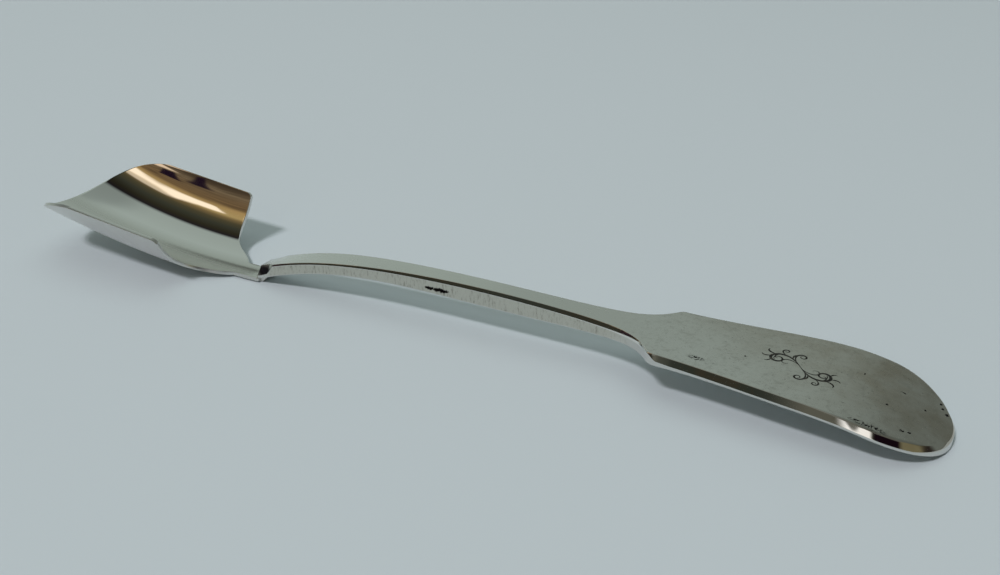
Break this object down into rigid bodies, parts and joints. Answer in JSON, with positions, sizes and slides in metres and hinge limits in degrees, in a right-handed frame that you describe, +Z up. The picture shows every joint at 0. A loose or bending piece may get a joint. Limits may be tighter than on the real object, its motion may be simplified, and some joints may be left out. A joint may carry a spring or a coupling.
{
  "type": "stilton scoop",
  "caption": "Silver cheese scoop with an open trough bowl, an arched stem and a flat fiddle-shaped handle, forged in one piece.",
  "frame": {"origin": "on the table under the middle of the scoop's length and width", "axes": "+X along the scoop from the bowl to the end of the handle, +Z up out of the open bowl"},
  "size_m": [0.239, 0.0388, 0.0182],
  "materials": {
    "polished_silver": "polished silver with fine wear, light tarnish and small pits"
  },
  "bodies": {
    "root": {"scoop": "polished_silver"}
  },
  "joints": []
}
